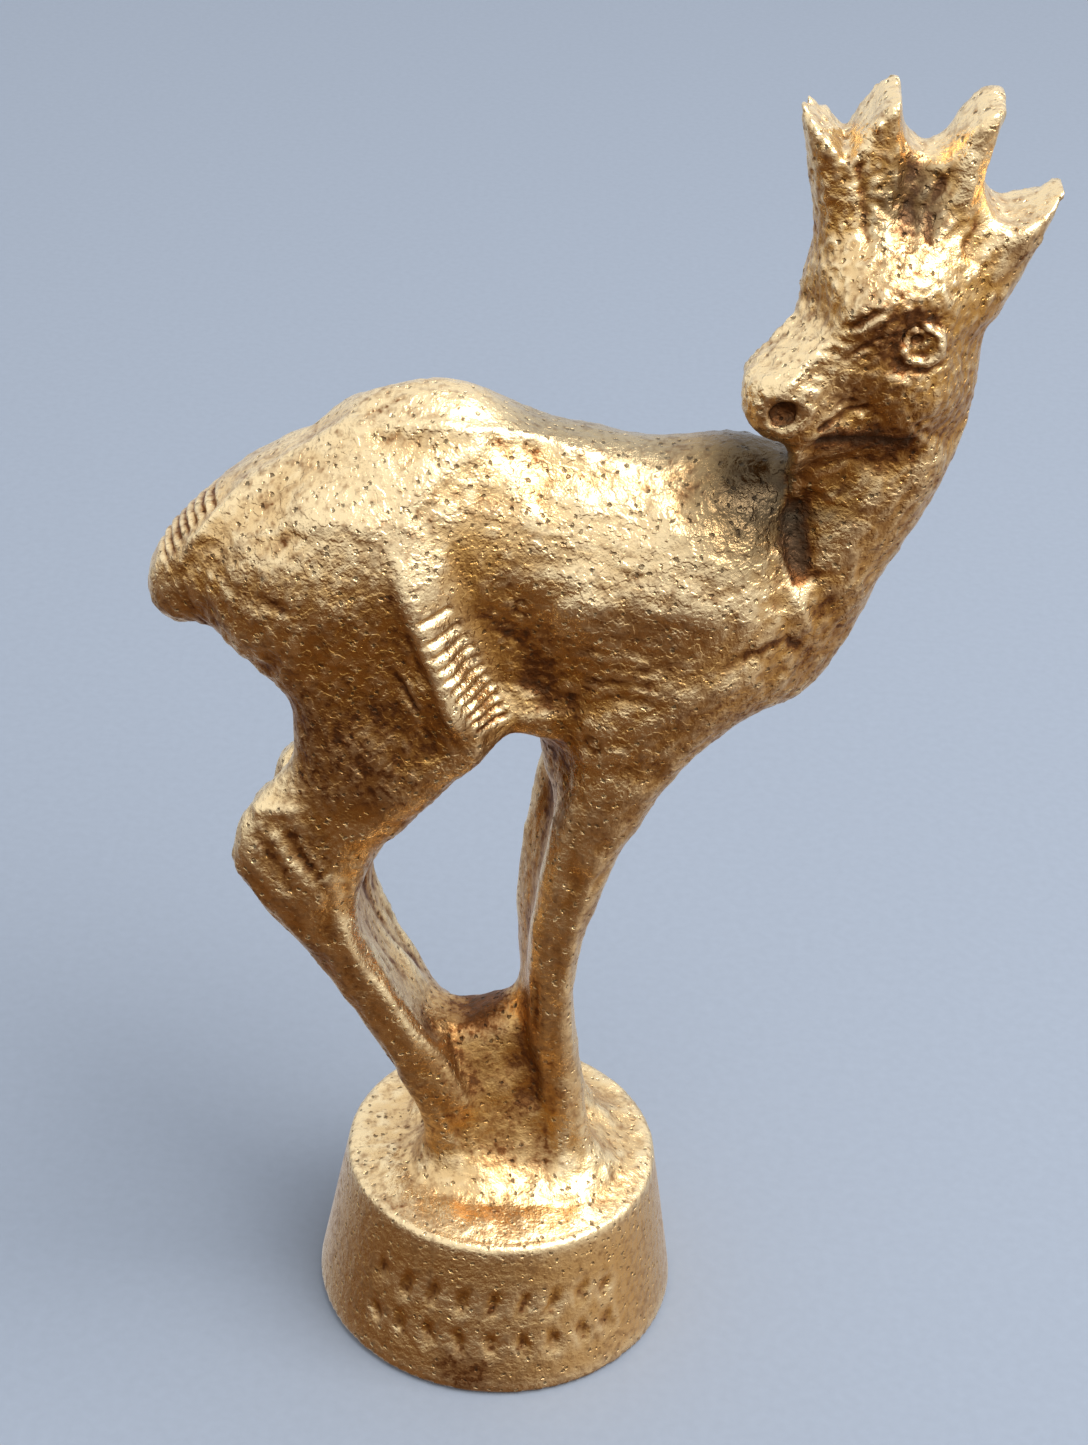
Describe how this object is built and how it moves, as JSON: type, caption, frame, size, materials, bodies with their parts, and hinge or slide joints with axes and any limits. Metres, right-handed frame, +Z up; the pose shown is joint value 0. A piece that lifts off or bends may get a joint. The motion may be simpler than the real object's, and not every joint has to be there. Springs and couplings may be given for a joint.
{
  "type": "deer figurine",
  "caption": "Small cast brass deer that stands with its feet gathered on a round tapered base and looks back over its shoulder.",
  "frame": {"origin": "centre of the flat round underside of the base", "axes": "+Z up from the underside; +X the way the deer's chest points; -Y the deer's right side, over which it looks back"},
  "size_m": [0.0455, 0.022, 0.0783],
  "materials": {
    "brass": "satin cast surface with worn high spots and brown patina in the hollows"
  },
  "bodies": {
    "root": {"deer_and_base": "brass"}
  },
  "joints": []
}
